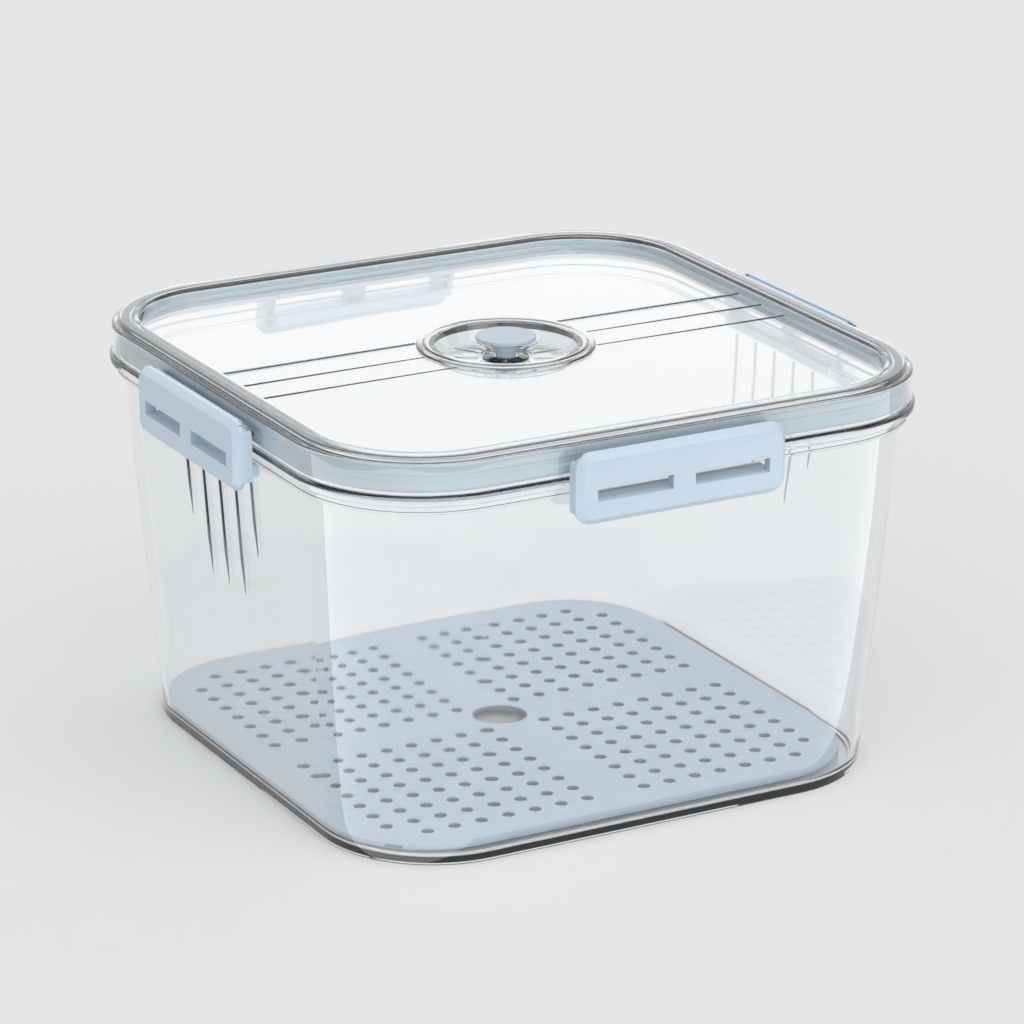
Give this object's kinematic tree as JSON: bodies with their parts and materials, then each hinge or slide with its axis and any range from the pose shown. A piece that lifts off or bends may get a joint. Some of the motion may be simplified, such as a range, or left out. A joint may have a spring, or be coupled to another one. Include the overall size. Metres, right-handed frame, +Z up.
{
  "type": "food storage box",
  "caption": "Clear square food storage box with a clip-on clear lid, powder-blue side latches, a push vent valve and a lift-out perforated drain tray.",
  "frame": {"origin": "centre of the box's underside, on the table", "axes": "+Z up out of the box, -Y the front side, X along the front latch"},
  "size_m": [0.242, 0.242, 0.145],
  "materials": {
    "clear_plastic": "clear, polished",
    "silicone_blue_grey": "soft satin silicone",
    "silicone_blue": "soft satin silicone",
    "latch_plastic": "satin moulded",
    "tray_plastic": "satin moulded"
  },
  "bodies": {
    "box": {"box_body": "clear_plastic"},
    "lid": {"lid_shell": "clear_plastic", "lid_gasket": "silicone_blue_grey", "valve_cup": "clear_plastic"},
    "latch_front": {"latch_front": "latch_plastic"},
    "latch_right": {"latch_right": "latch_plastic"},
    "latch_back": {"latch_back": "latch_plastic"},
    "latch_left": {"latch_left": "latch_plastic"},
    "valve_plunger": {"valve_knob": "silicone_blue", "valve_seal": "silicone_blue"},
    "tray": {"drain_tray": "tray_plastic"}
  },
  "joints": [
    {"name": "lid_lift", "type": "slide", "parent": "box", "child": "lid", "axis": [0, 0, 1], "range_m": [0, 0.15]},
    {"name": "latch_front_hinge", "type": "hinge", "parent": "lid", "child": "latch_front", "pos_m": [0, -0.117, 0.1388], "axis": [-1, 0, 0], "range_deg": [0, 110]},
    {"name": "latch_right_hinge", "type": "hinge", "parent": "lid", "child": "latch_right", "pos_m": [0.117, 0, 0.1388], "axis": [0, -1, 0], "range_deg": [0, 110]},
    {"name": "latch_back_hinge", "type": "hinge", "parent": "lid", "child": "latch_back", "pos_m": [0, 0.117, 0.1388], "axis": [1, 0, 0], "range_deg": [0, 110]},
    {"name": "latch_left_hinge", "type": "hinge", "parent": "lid", "child": "latch_left", "pos_m": [-0.117, 0, 0.1388], "axis": [0, 1, 0], "range_deg": [0, 110]},
    {"name": "valve_pull", "type": "slide", "parent": "lid", "child": "valve_plunger", "axis": [0, 0, 1], "range_m": [0, 0.0029]},
    {"name": "tray_lift", "type": "slide", "parent": "box", "child": "tray", "axis": [0, 0, 1], "range_m": [0, 0.118]}
  ]
}
